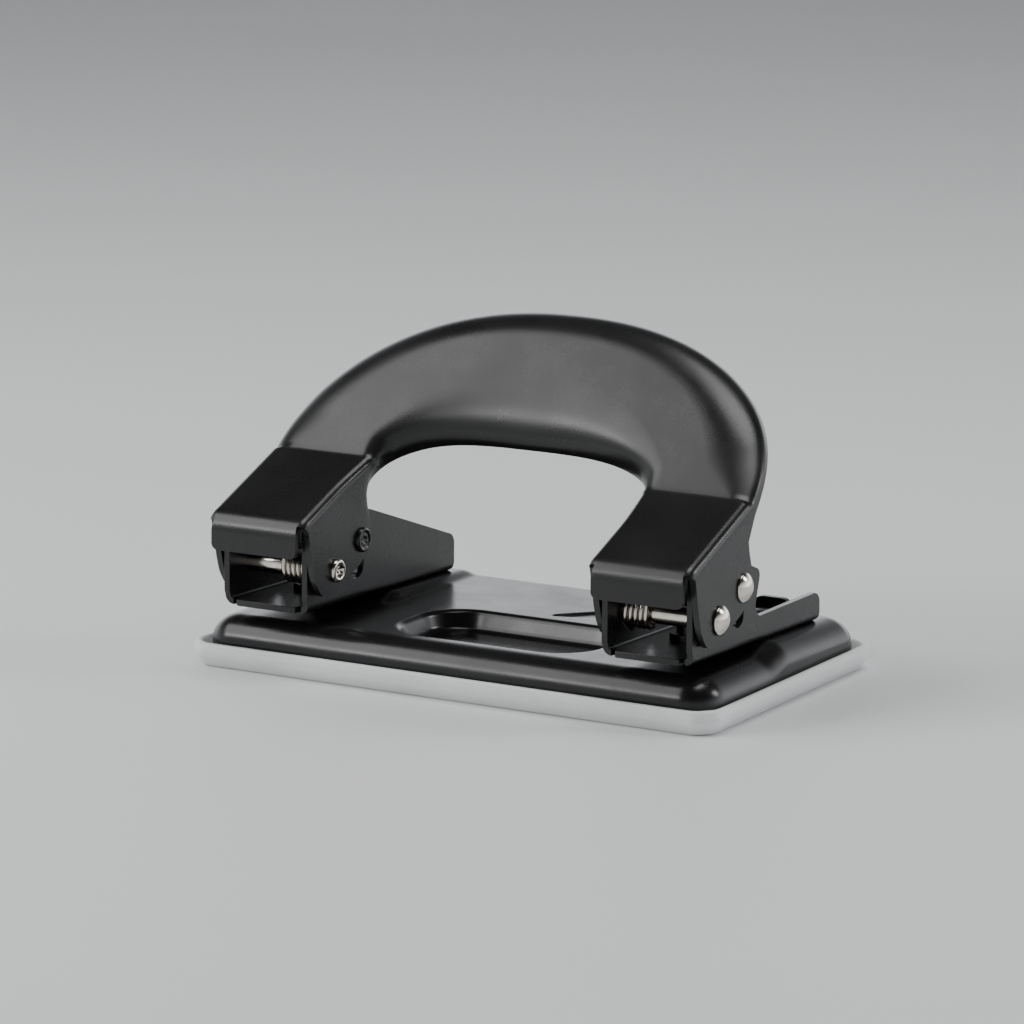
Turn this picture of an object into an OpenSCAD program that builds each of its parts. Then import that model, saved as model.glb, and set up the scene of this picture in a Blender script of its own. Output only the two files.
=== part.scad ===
// Two-hole desk punch: a bent-sheet arch handle that swings on two pivot pins
// and drives two punches through a pressed base into a clip-on chip tray.
// X runs along the front edge, Y from the paper mouth to the back, Z up.
// The origin lies under the middle of the tray, on the desk.

/* [Punching] */
// Distance between the two hole centres
hole_spacing = 80; // [78:0.5:82]
// Diameter of the punched hole
hole_d = 5.5; // [5:0.1:6]
// Angle that the handle swings through from rest to the end of its stroke
press_angle = 31; // [24:1:31]

/* [Chip tray] */
// Length of the tray
tray_l = 110.6; // [109:0.2:112]
// Depth of the tray, front to back
tray_d = 67.6; // [67.2:0.2:68.4]
// Height of the tray's rim
tray_h = 4.6; // [4:0.1:4.8]
// Thickness of the tray's walls
tray_wall = 1.3; // [1:0.1:1.4]

/* [Base plate] */
// Height of the base's flat top above the desk
base_top = 9.2; // [9:0.1:9.4]
// Sheet thickness of the base
base_t = 1.1; // [1:0.1:1.3]
// Radius of the rounded edge that runs round the base
base_edge = 4.8; // [4.2:0.1:5]
// Depth of the pressed panel in the middle of the base
panel_depth = 3.6; // [2.5:0.1:4]

/* [Brackets] */
// Width of a bracket over its two plates
bracket_w = 18.2; // [18:0.1:18.4]
// Sheet thickness of the brackets and the handle
sheet_t = 1.2; // [1:0.05:1.3]

/* [Handle] */
// Width of a handle leg over its two ears
leg_w = 21.2; // [21.2:0.1:21.6]
// Slope of a leg's top face, in degrees
leg_slope = 22; // [21:0.5:23]
// Slope of the arch, in degrees
arch_slope = 50; // [47:1:52]
// Height of the arch above the bend, measured along its slope
arch_rise = 39; // [37:0.5:40.5]

/* [Pins] */
// Diameter of the pivot and drive pins
pin_d = 4; // [3.8:0.1:4]
// Distance between a pivot pin and its drive pin
crank_r = 10.1; // [9.9:0.1:10.2]
// Angle of the crank above level with the handle at rest
crank_angle = 24.5; // [23:0.5:25]

/* [Hidden] */
$fn = 48;

side_x = hole_spacing / 2;
front = -tray_d / 2 + 0.8;
eps = 0.01;

// Pins, all measured at rest
pivot_y = front + 11.2;
pivot_z = 18.7;
drive_y = pivot_y + crank_r * cos(crank_angle);
drive_z = pivot_z + crank_r * sin(crank_angle);
pin_r = pin_d / 2;
run_fit = 0.05;
slot_gap = 0.2;
head_d = 5.5;
head_h = 1.5;
tail_r = 1.5;
ring_or = 2.35;
ring_t = 0.8;

// The punches stand midway between the drive pin's most forward and rearward places
punch_y = pivot_y + crank_r * (cos(crank_angle) + 1) / 2;
punch_r = hole_d / 2;
punch_tip_z = 11.25;
punch_head = [5.4, 8.2, 7.3];
punch_bore_gap = 0.15;

// Brackets
half_w = bracket_w / 2;
lip_half_w = 6.6;
floor_front_y = front + 4.4;
floor_front_z = 11.45;
floor_drop = 0.0275;
stop_y = front + 31;
rivet_y = [front + 37, front + 49];
rivet_r = 1.6;
rivet_head_r = 2.6;
bush_or = 4;
bush_h = 1.2;
bush_bore_r = punch_r + 0.95;
plate_nose_r = 11;

// Handle
ear_out = leg_w / 2;
ear_in = ear_out - sheet_t;
leg_z0 = 29.1;
bend_y = front + 22.3;
bend_z = leg_z0 + 22.3 * tan(leg_slope) + 0.05;
flap_y = front - 0.6;
flap_bottom_z = 22.6;
arch_half_w = side_x + ear_out - 0.1;
arch_in_half_w = side_x - ear_out;
arch_y = front + 21;
arch_z = 36.4;
arch_in_rise = 10.4;
arch_rim_waist = 3.2;
arch_rim_top = 5.2;
arch_rim_growth = 1.25;
arch_steps = 40;
arch_ring_steps = 12;
arch_power = 2.2;
arch_in_power = 2.5;
arch_section_power = 3.3;
arch_inner_power = 2.1;

// Springs
wire_r = 0.45;
coil_r = pin_r + 0.35 + wire_r;
coil_turns = 4;
coil_start = 235;
coil_end = 170;
floor_leg = 2.2;
handle_leg = 11;
coil_pitch = 1.05;
left_coil_shift = 1.8;

// Base and tray outlines
base_l = tray_l - 3.6;
base_d = tray_d - 5.2;
base_skirt_z = 2.6;
corner_r = 6.4;
tray_corner_r = 4.5;
panel_l = 44;
panel_d = 25.6;
panel_x = 2.3;
panel_y = front + 20.8;
die_or = punch_r + 1.9;
die_h = 2.2;
die_gap = 0.1;

// Points of an arc round (y, z) from angle a0 to a1
function arc(y, z, r, a0, a1, n) =
    [for (i = [0:n]) let (a = a0 + (a1 - a0) * i / n) [y + r * cos(a), z + r * sin(a)]];
function floor_z(y) = floor_front_z - (y - floor_front_y) * floor_drop;
function signed_pow(v, p) = sign(v) * pow(abs(v), p);
function smooth(v) = let (c = min(max(v, 0), 1)) c * c * (3 - 2 * c);

// ---------- helpers ----------

// Copies its children, built round X = 0 for the right side, to one side
module on_side(side) {
    if (side > 0) translate([side_x, 0, 0]) children();
    else mirror([1, 0, 0]) translate([side_x, 0, 0]) children();
}

// A sheet outline given in Y and Z, extruded along X from x0 to x1
module sheet_yz(x0, x1) {
    translate([x0, 0, 0]) rotate([90, 0, 90]) linear_extrude(x1 - x0) children();
}

// A cylinder along X
module rod_x(x0, x1, r, y, z) {
    translate([x0, y, z]) rotate([0, 90, 0]) cylinder(h = x1 - x0, r = r);
}

// A rectangle with rounded corners, centred
module round_rect(l, d, r) {
    square([l - 2 * r, d], center = true);
    square([l, d - 2 * r], center = true);
    for (sx = [-1, 1], sy = [-1, 1])
        translate([sx * (l / 2 - r), sy * (d / 2 - r)]) circle(r);
}

// The half profile of a plate's rim: flat top, a quarter-round edge and a straight skirt
module rim_profile(r, z0, z1, edge) {
    square_h = z1 - edge - z0;
    translate([0, z0]) square([r, square_h]);
    translate([0, z0]) square([r - edge, z1 - z0]);
    intersection() {
        translate([r - edge, z1 - edge]) circle(edge);
        translate([0, z1 - edge]) square([r, edge]);
    }
}

// A solid plate whose upper edge is rounded all the way round
module pillow(l, d, r, z0, z1, edge) {
    cx = l / 2 - r;
    cy = d / 2 - r;
    for (sx = [-1, 1], sy = [-1, 1])
        translate([sx * cx, sy * cy, 0]) rotate_extrude() rim_profile(r, z0, z1, edge);
    for (a = [0, 180]) rotate(a) {
        translate([cx, cy, 0]) rotate([90, 0, 0]) linear_extrude(2 * cy)
            rim_profile(r, z0, z1, edge);
        translate([-cx, cy, 0]) rotate([90, 0, 90]) linear_extrude(2 * cx)
            rim_profile(r, z0, z1, edge);
    }
    translate([-cx - eps, -cy - eps, z0]) cube([2 * (cx + eps), 2 * (cy + eps), z1 - z0]);
}

// ---------- tray and base ----------

// Soft plastic tray that catches the paper discs and is the punch's foot
module chip_tray() {
    color("gainsboro") difference() {
        linear_extrude(tray_h) round_rect(tray_l, tray_d, tray_corner_r);
        translate([0, 0, tray_wall]) linear_extrude(tray_h)
            round_rect(tray_l - 2 * tray_wall, tray_d - 2 * tray_wall,
                tray_corner_r - tray_wall);
    }
}

// The raised pad that carries one bracket and stops the paper
module bracket_pad() {
    sheet_yz(-half_w - 2.4, half_w + 2.4) polygon([
        [stop_y, base_top - base_t], [stop_y, floor_z(stop_y)],
        [front + 60, floor_z(front + 60)], [front + 60, base_top - base_t]
    ]);
}

// Pressed steel base: hollow below, with a stamped panel and two dies
module base_plate() {
    color("#1c1c1e") difference() {
        union() {
            difference() {
                pillow(base_l, base_d, corner_r, base_skirt_z, base_top, base_edge);
                translate([0, 0, -eps]) pillow(base_l - 2 * base_t, base_d - 2 * base_t,
                    corner_r - base_t, base_skirt_z - 1, base_top - base_t, base_edge - base_t);
            }
            translate([panel_x, panel_y, base_top - panel_depth - base_t])
                linear_extrude(panel_depth + base_t - eps) round_rect(panel_l, panel_d, 10);
            for (side = [-1, 1]) on_side(side) {
                bracket_pad();
                translate([0, punch_y, base_top - die_h]) cylinder(h = die_h, r = die_or + 1.4);
            }
        }
        translate([panel_x, panel_y, base_top - panel_depth]) linear_extrude(panel_depth + 1)
            round_rect(panel_l - 2 * base_t, panel_d - 2 * base_t, 10 - base_t);
        for (side = [-1, 1]) on_side(side) {
            translate([0, punch_y, 0]) cylinder(h = 20, r = die_or);
            for (y = rivet_y) translate([0, y, 0]) cylinder(h = 20, r = rivet_r);
        }
    }
}

// Hardened ring pressed into the base, which cuts the hole with the punch
module die_ring(side) {
    color("#8d8f92") on_side(side) translate([0, punch_y, base_top - die_h]) difference() {
        cylinder(h = die_h, r = die_or);
        translate([0, 0, -1]) cylinder(h = die_h + 2, r = punch_r + die_gap);
    }
}

// ---------- brackets ----------

// Arc slot in which the drive pin swings, from just past the pressed end to rest
slot_r = pin_r + slot_gap;
slot_low = crank_angle - press_angle - 1;
slot_high = crank_angle + 1;
drive_slot = concat(
    arc(pivot_y, pivot_z, crank_r + slot_r, slot_low, slot_high, 10),
    arc(pivot_y + crank_r * cos(slot_high), pivot_z + crank_r * sin(slot_high), slot_r,
        slot_high + 15, slot_high + 165, 10),
    arc(pivot_y, pivot_z, crank_r - slot_r, slot_high, slot_low, 8),
    arc(pivot_y + crank_r * cos(slot_low), pivot_z + crank_r * sin(slot_low), slot_r,
        slot_low + 195, slot_low + 345, 10));

// The edge that both plates share: up the front and round the pivot, clear of the leg
plate_front_y = front + 3.6;
front_turn = acos((plate_front_y - pivot_y) / plate_nose_r);
plate_front = concat(
    [[plate_front_y + 1.6, floor_z(plate_front_y + 1.6)]],
    arc(plate_front_y + 1.6, floor_z(plate_front_y) + 1.6, 1.6, 240, 180, 3),
    arc(pivot_y, pivot_z, plate_nose_r, front_turn, 80, 10));

// The tall plate that faces the middle of the punch
inner_plate = concat(plate_front,
    [[front + 26, 27.6]],
    arc(front + 54.8, 15.5, 2.3, 71, 0, 5),
    [[front + 55.6, floor_z(front + 55.6)]]);

// The outer plate: tall round the pins, then a low rail to the back
outer_plate = concat(plate_front,
    [[front + 22.5, 27.2]],
    arc(front + 27.8, 23.2, 1.9, 60, 0, 3),
    arc(front + 30.6, 18.2, 2.4, 180, 270, 5),
    arc(front + 52.2, 13.5, 2.3, 90, 0, 5),
    [[front + 53.4, floor_z(front + 53.4)]]);

// A strip of the bracket's sloping floor
module floor_strip(half, y0, y1) {
    sheet_yz(-half, half) polygon([
        [y0, floor_z(y0)], [y0, floor_z(y0) + sheet_t],
        [y1, floor_z(y1) + sheet_t], [y1, floor_z(y1)]
    ]);
}

// One folded bracket, built with its outer plate towards +X
module bracket(side) {
    tab_y = front + 54;
    tab_z = floor_z(tab_y) + 0.3;
    color("#2b2b2d") on_side(side) difference() {
        union() {
            sheet_yz(half_w - sheet_t, half_w) polygon(outer_plate);
            sheet_yz(-half_w, -half_w + sheet_t) polygon(inner_plate);
            floor_strip(half_w - sheet_t / 2, floor_front_y + 3, front + 53);
            floor_strip(lip_half_w, floor_front_y - 1, floor_front_y + 4);
            // Rounded tab turned up from the back of the floor
            translate([0, tab_y, 0]) rotate([90, 0, 0]) linear_extrude(sheet_t * 2)
                polygon(concat([[-4.2, tab_z]], arc(-1.8, tab_z + 1.6, 2.4, 180, 90, 4),
                    arc(1.8, tab_z + 1.6, 2.4, 90, 0, 4), [[4.2, tab_z]]));
        }
        sheet_yz(-half_w - 1, half_w + 1) polygon(drive_slot);
        rod_x(-half_w - 1, half_w + 1, pin_r, pivot_y, pivot_z);
        translate([0, punch_y, 5]) cylinder(h = 9, r = bush_bore_r);
        for (y = rivet_y) translate([0, y, 5]) cylinder(h = 9, r = rivet_r);
    }
}

// Four rivets that hold the brackets' floors down on the base's pads
module bracket_rivets() {
    color("#3a3a3c") for (side = [-1, 1], y = rivet_y) on_side(side) translate([0, y, 0]) {
        translate([0, 0, base_top - base_t - 0.5]) cylinder(h = 4.4, r = rivet_r - 0.03);
        translate([0, 0, floor_z(y - rivet_head_r) + sheet_t + 0.02])
            cylinder(h = 0.9, r = rivet_head_r);
        translate([0, 0, base_top - base_t - 1]) cylinder(h = 0.95, r = rivet_head_r);
    }
}

// Steel bush in the bracket's floor that guides the punch
module guide_bush(side) {
    low = floor_z(punch_y) - 0.1;
    flange = floor_z(punch_y - bush_or) + sheet_t + 0.02;
    color("#5b5c5f") on_side(side) translate([0, punch_y, 0]) difference() {
        union() {
            translate([0, 0, low]) cylinder(h = flange - low + 0.5, r = bush_bore_r);
            translate([0, 0, flange]) cylinder(h = bush_h, r = bush_or);
        }
        translate([0, 0, 5]) cylinder(h = 20, r = punch_r + run_fit);
    }
}

// ---------- punches, pins and springs ----------

// Round punch with a flat-sided head; the drive pin works in the head's cross slot
module punch(side) {
    reach = crank_r * (1 - cos(crank_angle)) / 2 + 0.15;
    slot_r = pin_r + punch_bore_gap;
    color("#4a4b4e") on_side(side) difference() {
        union() {
            translate([0, punch_y, punch_tip_z])
                cylinder(h = drive_z - punch_tip_z, r = punch_r);
            translate([-punch_head[0] / 2, punch_y - punch_head[1] / 2, drive_z - punch_head[2] / 2])
                cube(punch_head);
        }
        for (dy = [-reach, reach]) rod_x(-10, 10, slot_r, punch_y + dy, drive_z);
        translate([-10, punch_y - reach, drive_z - slot_r]) cube([20, 2 * reach, 2 * slot_r]);
        translate([0, punch_y, punch_tip_z - 0.01]) cylinder(h = 0.8, r1 = 1.6, r2 = 0.2);
    }
}

// A pin turned along X from a profile of radius against X, with a domed head
module turned_pin(y, z, x_tail, x_head, tail) {
    ball = (head_d * head_d / 4 + head_h * head_h) / (2 * head_h);
    edge = asin(head_d / 2 / ball);
    dome = [for (i = [0:8]) let (a = edge * (1 - i / 8))
        [ball * sin(a), x_head + head_h - ball + ball * cos(a)]];
    translate([0, y, z]) rotate([0, 90, 0]) rotate_extrude()
        polygon(concat([[0, x_tail]], tail, [[pin_r, x_head], [head_d / 2, x_head]],
            [for (i = [1:8]) dome[i]]));
}

// Pivot pin: fixed in the bracket's plates, running in the handle's ears
module pivot_pin(side) {
    x = -ear_out - 0.12;
    color("#cfc9b8") on_side(side) turned_pin(pivot_y, pivot_z, x - 0.4, ear_out + 0.12,
        [[1.1, x - 0.4], [1.4, x - 0.9], [1.9, x - 0.9], [2.2, x - 0.6], [2.2, x], [pin_r, x]]);
}

// Drive pin: fixed in the handle's ears, swinging in the bracket's slots
module drive_pin(side) {
    x = -ear_out;
    color("#cfc9b8") on_side(side) turned_pin(drive_y, drive_z, x - 0.5, ear_out,
        [[0.8, x - 0.5], [0.9, x - ring_t], [tail_r, x - ring_t], [tail_r, x], [pin_r, x]]);
}

// Black push-on ring that keeps the drive pin in its ears
module retaining_ring(side) {
    color("#161617") on_side(side) difference() {
        rod_x(-ear_out - ring_t, -ear_out, ring_or, drive_y, drive_z);
        rod_x(-ear_out - 2, 0, tail_r, drive_y, drive_z);
    }
}

// Return spring: a coil round the pivot pin, one leg on the floor, one under the handle
module torsion_spring(side) {
    sides = 8;
    steps = 20;
    x0 = -half_w + sheet_t + 0.8 + (side < 0 ? left_coil_shift : 0);
    turn = 360 * coil_turns + coil_start - coil_end;
    n = floor(steps * turn / 360);
    rise = coil_pitch * turn / 360;
    coil = [for (i = [0:n]) let (a = coil_start - turn * i / n)
        [x0 + rise * i / n, coil_r * cos(a), coil_r * sin(a)]];
    // Tangent ends: the first leg runs down to the floor, the last one up under the leg
    start_leg = coil[0] + floor_leg * [0, -sin(coil_start), cos(coil_start)];
    end_leg = coil[n] + handle_leg * [0, sin(coil_end), -cos(coil_end)];
    path = concat([start_leg], coil, [end_leg]);
    m = len(path);
    function tangent(i) = let (d = path[min(i + 1, m - 1)] - path[max(i - 1, 0)]) d / norm(d);
    points = [for (i = [0:m - 1]) let (
            t = tangent(i),
            u = cross(t, [1, 0, 0]) / norm(cross(t, [1, 0, 0])),
            v = cross(t, u))
        for (k = [0:sides - 1])
            path[i] + wire_r * (cos(360 * k / sides) * u + sin(360 * k / sides) * v)];
    faces = concat(
        [[for (k = [0:sides - 1]) k]],
        [for (i = [0:m - 2], k = [0:sides - 1]) let (k2 = (k + 1) % sides)
            [i * sides + k, (i + 1) * sides + k, (i + 1) * sides + k2, i * sides + k2]],
        [[for (k = [sides - 1:-1:0]) (m - 1) * sides + k]]);
    color("#b9b4a6") on_side(side) translate([0, pivot_y, pivot_z])
        polyhedron(points, faces, convexity = 6);
}

// ---------- handle ----------

// A leg's folded outline in Y and Z: from the bend down the leg to the flap's edge
module leg_top_outline() {
    c = cos(leg_slope);
    s = sin(leg_slope);
    knee_y = bend_y + 2.5 * cos(arch_slope);
    knee_z = bend_z + 2.5 * sin(arch_slope);
    polygon([
        [flap_y, flap_bottom_z], [flap_y, leg_z0 - 1.4], [flap_y + 0.9, leg_z0 - 0.4],
        [bend_y, bend_z], [knee_y, knee_z],
        [knee_y + sheet_t * sin(arch_slope), knee_z - sheet_t * cos(arch_slope)],
        [bend_y + sheet_t * s, bend_z - sheet_t * c - 0.2],
        [flap_y + 1.8, leg_z0 - 1.3], [flap_y + sheet_t, leg_z0 - 2.2],
        [flap_y + sheet_t, flap_bottom_z]
    ]);
}

// One ear: a flat cheek that carries both pins, narrow at the bend and round below
module ear_outline() {
    bottom = [front + 7.6, 17.2];
    polygon([
        [front + 0.9, leg_z0], [bend_y, bend_z - 0.3], [bend_y + 1.2, bend_z + 1],
        [bend_y + 2.6, bend_z - 0.9], [front + 22.6, 33.9], [front + 22, 31.2],
        [front + 22.5, 28.8], [front + 23.4, 26], [drive_y + 3.5, drive_z],
        [front + 22.6, 20.3], [front + 18, 17.5], [front + 13.5, 16.1], [front + 9, 14.8],
        [bottom[0], 14.4], [bottom[0] - 2.5, 16], [front + 3.3, 20.5], [front + 1.2, 26.7]
    ]);
    translate(bottom) circle(2.8);
}

// Outer and inner edges of the arch, flat in its own plane: a is 0 at the right leg
function arch_outer(a) = [
    arch_half_w * signed_pow(cos(a), 2 / arch_power),
    1 + (arch_rise - 1) * pow(abs(sin(a)), 2 / arch_power)];
function arch_inner(a) = [
    arch_in_half_w * signed_pow(cos(a), 2 / arch_in_power),
    arch_in_rise * pow(abs(sin(a)), 2 / arch_in_power)];

// A point of the arch's skin: t runs over the section from rim to rim, inset inwards
function arch_point(a, t, inset) = let (
    o = arch_outer(a),
    i = arch_inner(a),
    half = norm(o - i) / 2,
    u = (o - i) / (2 * half),
    rim = arch_rim_waist + (arch_rim_top - arch_rim_waist) * smooth(arch_rim_growth * sin(a)),
    power = cos(t) < 0 ? arch_inner_power : arch_section_power,
    q = (half - inset) * signed_pow(cos(t), 2 / power),
    h = -inset - (rim - inset) * (1 - pow(abs(sin(t)), 2 / power)),
    p = (o + i) / 2 + u * q)
    [p[0],
     arch_y + p[1] * cos(arch_slope) - h * sin(arch_slope),
     arch_z + p[1] * sin(arch_slope) + h * cos(arch_slope)];

// The arch: one rounded channel swept from leg to leg
module arch() {
    m = arch_ring_steps;
    ring = 2 * (m + 1);
    points = [for (i = [0:arch_steps]) let (a = 180 * i / arch_steps)
        each concat(
            [for (j = [0:m]) arch_point(a, 180 * j / m, 0)],
            [for (j = [m:-1:0]) arch_point(a, 180 * j / m, sheet_t)])];
    faces = concat(
        [[for (k = [ring - 1:-1:0]) k]],
        [for (i = [0:arch_steps - 1], k = [0:ring - 1]) let (k2 = (k + 1) % ring)
            each [[i * ring + k, i * ring + k2, (i + 1) * ring + k2],
                  [i * ring + k, (i + 1) * ring + k2, (i + 1) * ring + k]]],
        [[for (k = [0:ring - 1]) arch_steps * ring + k]]);
    polyhedron(points, faces, convexity = 8);
}

// The whole handle, folded from one sheet
module handle() {
    color("#2f2f31") union() {
        arch();
        for (side = [-1, 1]) on_side(side) difference() {
            union() {
                sheet_yz(-ear_in + 0.25, ear_in - 0.25) leg_top_outline();
                intersection() {
                    sheet_yz(-ear_out, ear_out) leg_top_outline();
                    translate([-20, front + 2.2, 20]) cube([40, 40, 40]);
                }
                for (x = [-ear_out, ear_in]) sheet_yz(x, x + sheet_t) ear_outline();
            }
            for (x = [-ear_out, ear_in]) {
                rod_x(x - 1, x + sheet_t + 1, pin_r + run_fit, pivot_y, pivot_z);
                rod_x(x - 1, x + sheet_t + 1, pin_r, drive_y, drive_z);
            }
        }
    }
}

chip_tray();
base_plate();
die_ring(-1);  // die_ring_left
die_ring(1);  // die_ring_right
bracket(-1);  // bracket_left
bracket(1);  // bracket_right
bracket_rivets();
guide_bush(-1);  // guide_bush_left
guide_bush(1);  // guide_bush_right
punch(-1);  // punch_left
punch(1);  // punch_right
pivot_pin(-1);  // pivot_pin_left
pivot_pin(1);  // pivot_pin_right
torsion_spring(-1);  // torsion_spring_left
torsion_spring(1);  // torsion_spring_right
handle();
drive_pin(-1);  // drive_pin_left
drive_pin(1);  // drive_pin_right
retaining_ring(-1);  // retaining_ring_left
retaining_ring(1);  // retaining_ring_right
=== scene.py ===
"""Looks of a two-hole desk punch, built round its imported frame.

Sizes are in millimetres here and become metres when a mesh is made. Y is often given as
the distance back from the front of the tray, and turned into the frame's Y by at_y().
"""
import math

import bmesh
import bpy
import numpy as np
from mathutils import Matrix, Vector


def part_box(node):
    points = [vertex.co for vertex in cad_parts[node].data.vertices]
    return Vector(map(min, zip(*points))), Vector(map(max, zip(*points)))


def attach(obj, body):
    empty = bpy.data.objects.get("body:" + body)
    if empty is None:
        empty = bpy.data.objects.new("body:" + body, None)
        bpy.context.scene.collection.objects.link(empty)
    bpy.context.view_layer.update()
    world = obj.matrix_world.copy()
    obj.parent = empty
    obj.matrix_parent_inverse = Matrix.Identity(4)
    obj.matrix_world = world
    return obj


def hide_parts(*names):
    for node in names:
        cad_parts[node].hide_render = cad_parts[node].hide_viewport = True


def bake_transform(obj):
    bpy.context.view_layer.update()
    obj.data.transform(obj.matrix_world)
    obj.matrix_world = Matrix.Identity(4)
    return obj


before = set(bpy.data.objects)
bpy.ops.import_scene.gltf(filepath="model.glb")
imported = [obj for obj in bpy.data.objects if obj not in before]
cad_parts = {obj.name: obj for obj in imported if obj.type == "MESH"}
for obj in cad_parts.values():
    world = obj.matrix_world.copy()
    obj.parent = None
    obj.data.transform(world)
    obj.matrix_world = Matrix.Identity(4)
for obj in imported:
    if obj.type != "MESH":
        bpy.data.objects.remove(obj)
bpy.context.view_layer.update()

MM = 0.001
WELD = 0.001
ROUND_SIDES, TURNED_SIDES, RIVET_SIDES = 48, 64, 40


# ---------- sizes read from the frame ----------

def node_box(node):
    low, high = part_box(node)
    return np.array(low) / MM, np.array(high) / MM


def node_centre(node):
    low, high = node_box(node)
    return (low + high) / 2


def node_size(node):
    low, high = node_box(node)
    return high - low


TRAY_LOW, TRAY_HIGH = node_box("chip_tray")
HANDLE_HIGH = node_box("handle")[1]
FRONT = TRAY_LOW[1] + 0.8
SIDE_X = node_centre("die_ring_right")[0]
PIVOT = node_centre("pivot_pin_right")[1:]
DRIVE = node_centre("drive_pin_right")[1:]
DIE_TOP = node_box("die_ring_right")[1][2]
DIE_R = node_size("die_ring_right")[0] / 2
PUNCH_Y = node_centre("die_ring_right")[1]
HALF_W = node_size("bracket_right")[0] / 2
EAR_OUT = HANDLE_HIGH[0] - SIDE_X
EAR_FACE = -EAR_OUT
SHEET = 1.2
BASE_SHEET = 1.1
PIN_R = 2.0
FLOOR_FRONT = (4.4, 11.45)
FLOOR_FALL = 0.0275
RIVET_Y = (37, 49)


def at_y(y):
    """Frame Y of a distance back from the front of the tray."""
    return FRONT + y


PIVOT_YF = PIVOT[0] - FRONT
DRIVE_YF = DRIVE[0] - FRONT


def floor_z(y):
    """Underside of a bracket's floor, which falls a little towards the back."""
    return FLOOR_FRONT[1] - (y - FLOOR_FRONT[0]) * FLOOR_FALL


def smooth(v):
    """Eased step from 0 to 1."""
    c = min(max(v, 0.0), 1.0)
    return c * c * (3 - 2 * c)


# ---------- mesh helpers ----------

def link(name, data):
    obj = bpy.data.objects.new(name, data)
    bpy.context.scene.collection.objects.link(obj)
    return obj


def mesh_piece(name, points, faces):
    mesh = bpy.data.meshes.new(name)
    mesh.from_pydata([tuple(float(c) * MM for c in p) for p in points], [], faces)
    mesh.update()
    return link(name, mesh)


def outward(obj):
    """Merges doubles and turns every face of a closed mesh outwards."""
    bm = bmesh.new()
    bm.from_mesh(obj.data)
    bmesh.ops.remove_doubles(bm, verts=bm.verts, dist=WELD * MM)
    bmesh.ops.recalc_face_normals(bm, faces=bm.faces)
    bm.to_mesh(obj.data)
    bm.free()
    return obj


def settle(obj):
    """Turns a piece with its modifiers into a plain mesh."""
    graph = bpy.context.evaluated_depsgraph_get()
    mesh = bpy.data.meshes.new_from_object(obj.evaluated_get(graph))
    obj.modifiers.clear()
    obj.data = mesh
    mesh.name = obj.name
    return obj


def soften(obj, width, angle):
    """Rounds the sharp edges of a piece a little and shades the rest smooth."""
    bevel = obj.modifiers.new("rounded edges", "BEVEL")
    bevel.width = width * MM
    bevel.segments = 2
    bevel.limit_method = "ANGLE"
    bevel.angle_limit = math.radians(angle)
    bevel.harden_normals = True
    obj.data.shade_smooth()
    return settle(obj)


def shade(obj, angle=35):
    obj.data.shade_smooth()
    obj.data.set_sharp_from_angle(angle=math.radians(angle))
    return obj


def boolean(obj, other, operation):
    cut = obj.modifiers.new("cut", "BOOLEAN")
    cut.operation = operation
    cut.solver = "EXACT"
    cut.object = other
    settle(obj)
    bpy.data.objects.remove(other)
    return obj


def grid_faces(rows, cols, start=0, wrap=False):
    """Quads of a grid of points stored row by row."""
    faces = []
    for i in range(rows - 1):
        for j in range(cols if wrap else cols - 1):
            k = (j + 1) % cols
            a, b = start + i * cols, start + (i + 1) * cols
            faces.append((a + j, a + k, b + k, b + j))
    return faces


def arc(y, z, r, a0, a1, n):
    steps = np.radians(np.linspace(a0, a1, n + 1))
    return [(y + r * math.cos(a), z + r * math.sin(a)) for a in steps]


def fillet(points, radii, n=8):
    """Open line through 2D points, with each inner corner rounded to its radius."""
    line = [np.array(points[0], float)]
    for before, corner, after, r in zip(points, points[1:], points[2:], radii):
        p, a, b = (np.array(v, float) for v in (corner, before, after))
        u, v = (a - p) / np.linalg.norm(a - p), (b - p) / np.linalg.norm(b - p)
        half = math.acos(max(-1, min(1, float(u @ v)))) / 2
        reach = r / math.tan(half)
        middle = p + (u + v) / np.linalg.norm(u + v) * r / math.sin(half)
        start, end = p + u * reach, p + v * reach
        s, e = start - middle, end - middle
        turn = math.acos(max(-1, min(1, float(s @ e) / r ** 2)))
        for i in range(n + 1):
            t = i / n
            line.append(middle + (math.sin((1 - t) * turn) * s + math.sin(t * turn) * e)
                        / math.sin(turn))
    line.append(np.array(points[-1], float))
    return line


def along(line, count):
    """The line's points spaced evenly by length."""
    pts = np.array(line, float)
    reach = np.concatenate([[0], np.cumsum(np.linalg.norm(np.diff(pts, axis=0), axis=1))])
    where = np.linspace(0, reach[-1], count)
    return np.stack([np.interp(where, reach, pts[:, k]) for k in range(pts.shape[1])], 1)


def between(name, points):
    """Solid between two outlines of the same length, whose points follow each other."""
    n = len(points) // 2
    faces = [tuple(range(n)), tuple(range(2 * n - 1, n - 1, -1))]
    faces += [(i, i + n, (i + 1) % n + n, (i + 1) % n) for i in range(n)]
    return outward(mesh_piece(name, points, faces))


def prism(name, outline, x0, x1):
    """Solid between x0 and x1 from an outline in distance back and height."""
    return between(name, [(x, at_y(y), z) for x in (x0, x1) for y, z in outline])


def upright(name, x, y, radius, low, high):
    """Upright solid cylinder."""
    ring = [(x + radius * math.cos(a), y + radius * math.sin(a))
            for a in np.linspace(0, 2 * math.pi, ROUND_SIDES + 1)[:-1]]
    return between(name, [(*p, z) for z in (low, high) for p in ring])


def capped(rings, cols):
    """Faces of a stack of closed rings whose first and last ring are filled."""
    return grid_faces(rings, cols, wrap=True) + [
        tuple(range(cols)), tuple((rings - 1) * cols + k for k in range(cols))]


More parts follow.
